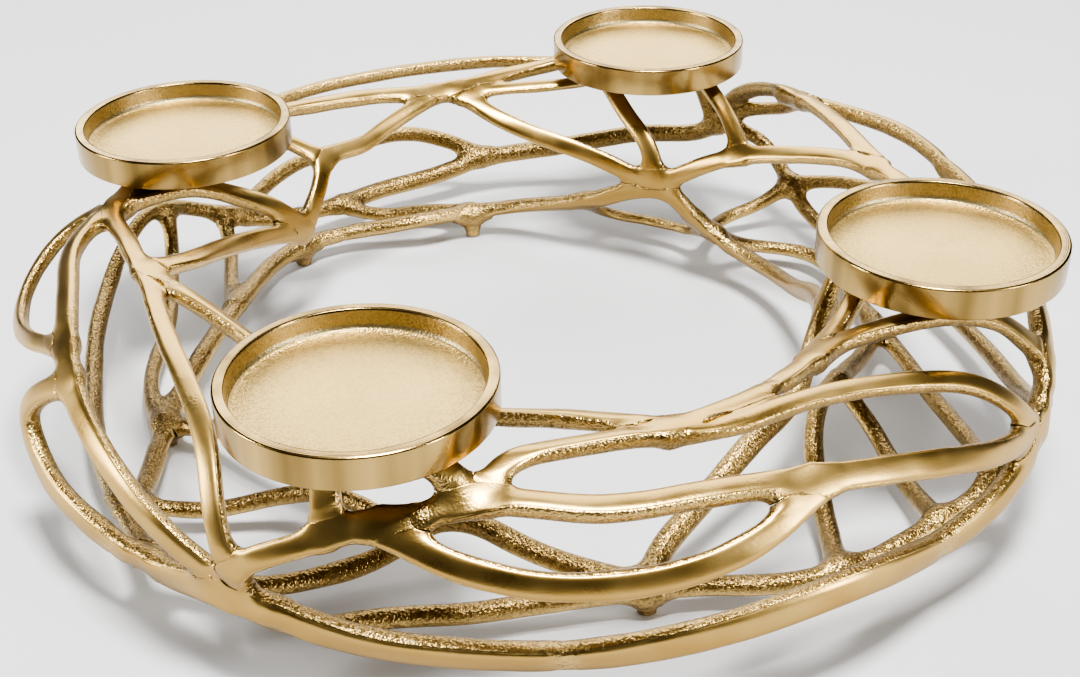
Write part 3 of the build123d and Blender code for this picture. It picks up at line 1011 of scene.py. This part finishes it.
# Floor
floor_size = 6.0
paint_grey = (0.62, 0.62, 0.62, 1)
paint_roughness = 0.9
bm = bmesh.new()
bmesh.ops.create_grid(bm, x_segments=1, y_segments=1, size=floor_size / 2)
floor = new_piece("floor", bm)
floor_paint = bpy.data.materials.new("floor_paint")
floor_paint.use_nodes = True
floor_shader = floor_paint.node_tree.nodes["Principled BSDF"]
floor_shader.inputs["Base Color"].default_value = paint_grey
floor_shader.inputs["Roughness"].default_value = paint_roughness
floor.data.materials.append(floor_paint)

# Far from the ring the floor and the backdrop look as pale as near it, without lighting the metal
fade_start, fade_end = 0.9, 2.6
far_glow = 1.1
floor_tree = floor_paint.node_tree
away = node(floor_tree, "ShaderNodeVectorMath", operation="LENGTH")
floor_tree.links.new(floor_tree.nodes.new("ShaderNodeTexCoord").outputs["Object"], away.inputs[0])
fade = node(floor_tree, "ShaderNodeMapRange", interpolation_type="SMOOTHSTEP",
            in_From_Min=fade_start, in_From_Max=fade_end, in_To_Max=far_glow)
floor_tree.links.new(away.outputs["Value"], fade.inputs["Value"])
seen = floor_tree.nodes.new("ShaderNodeLightPath").outputs["Is Camera Ray"]
glow = times(floor_tree, seen, fade.outputs["Result"])
floor_tree.links.new(glow, floor_shader.inputs["Emission Strength"])
floor_shader.inputs["Emission Color"].default_value = (1, 1, 1, 1)


# Light: each lamp's place, what it faces, its width and height, and its watts
lamps = {
    "back_light": ((-0.6, 1.5, 1.05), (0, 0, 0.05), (2.2, 1.0), 36),
    "top_light": ((0.2, -0.2, 1.6), (0, 0, 0), (0.40, 0.40), 58),
    "left_light": ((-1.4, -0.7, 0.7), (0, 0, 0.05), (0.3, 0.9), 22),
    "right_light": ((1.5, -0.3, 0.6), (0, 0, 0.05), (0.25, 0.8), 18),
}
studio_grey = (0.80, 0.78, 0.75, 1)
studio_fill = 0.06
backdrop_glow = 1.5


def soft_light(name, place, target, size, power):
    """Rectangular soft light that faces a target."""
    light = bpy.data.lights.new(name, "AREA")
    light.shape = "RECTANGLE"
    light.size, light.size_y = size
    light.energy = power
    lamp = bpy.data.objects.new(name, light)
    bpy.context.scene.collection.objects.link(lamp)
    lamp.location = place
    lamp.rotation_euler = (Vector(target) - Vector(place)).to_track_quat("-Z", "Y").to_euler()


for name, row in lamps.items():
    soft_light(name, *row)
world = bpy.data.worlds.new("studio")
world.use_nodes = True
world_tree = world.node_tree
backdrop = world_tree.nodes["Background"]
backdrop.inputs["Color"].default_value = studio_grey
seen = world_tree.nodes.new("ShaderNodeLightPath").outputs["Is Camera Ray"]
world_tree.links.new(mix_values(world_tree, seen, studio_fill, backdrop_glow), backdrop.inputs["Strength"])
bpy.context.scene.world = world
bpy.context.scene.view_settings.look = "AgX - Medium High Contrast"

# Camera at the photograph's viewing angle
image_width = 1080
focal_pixels = 1538.7
centre_shift = (11.15, 0.67)             # pixels from the lens axis to the image's middle
camera_place = (0.1944, -0.5176, 0.3568)
camera_look = (-0.356, 0.935, 0)
camera_pitch = math.radians(31.19)
camera_roll = math.radians(0.846)
look = Vector(camera_look).normalized()
right = Vector((look.y, -look.x, 0))
ahead = look * math.cos(camera_pitch) - Vector((0, 0, math.sin(camera_pitch)))
up = right.cross(ahead)
camera_right = right * math.cos(camera_roll) - up * math.sin(camera_roll)
camera_up = right * math.sin(camera_roll) + up * math.cos(camera_roll)
lens = bpy.data.cameras.new("camera")
lens.sensor_width = 36
lens.sensor_fit = "HORIZONTAL"
lens.lens = lens.sensor_width * focal_pixels / image_width
lens.shift_x = centre_shift[0] / image_width
lens.shift_y = centre_shift[1] / image_width
lens.clip_start = 0.01
camera = bpy.data.objects.new("camera", lens)
bpy.context.scene.collection.objects.link(camera)
turned = Matrix((camera_right, camera_up, -ahead)).transposed().to_4x4()
camera.matrix_world = Matrix.Translation(camera_place) @ turned
bpy.context.scene.camera = camera
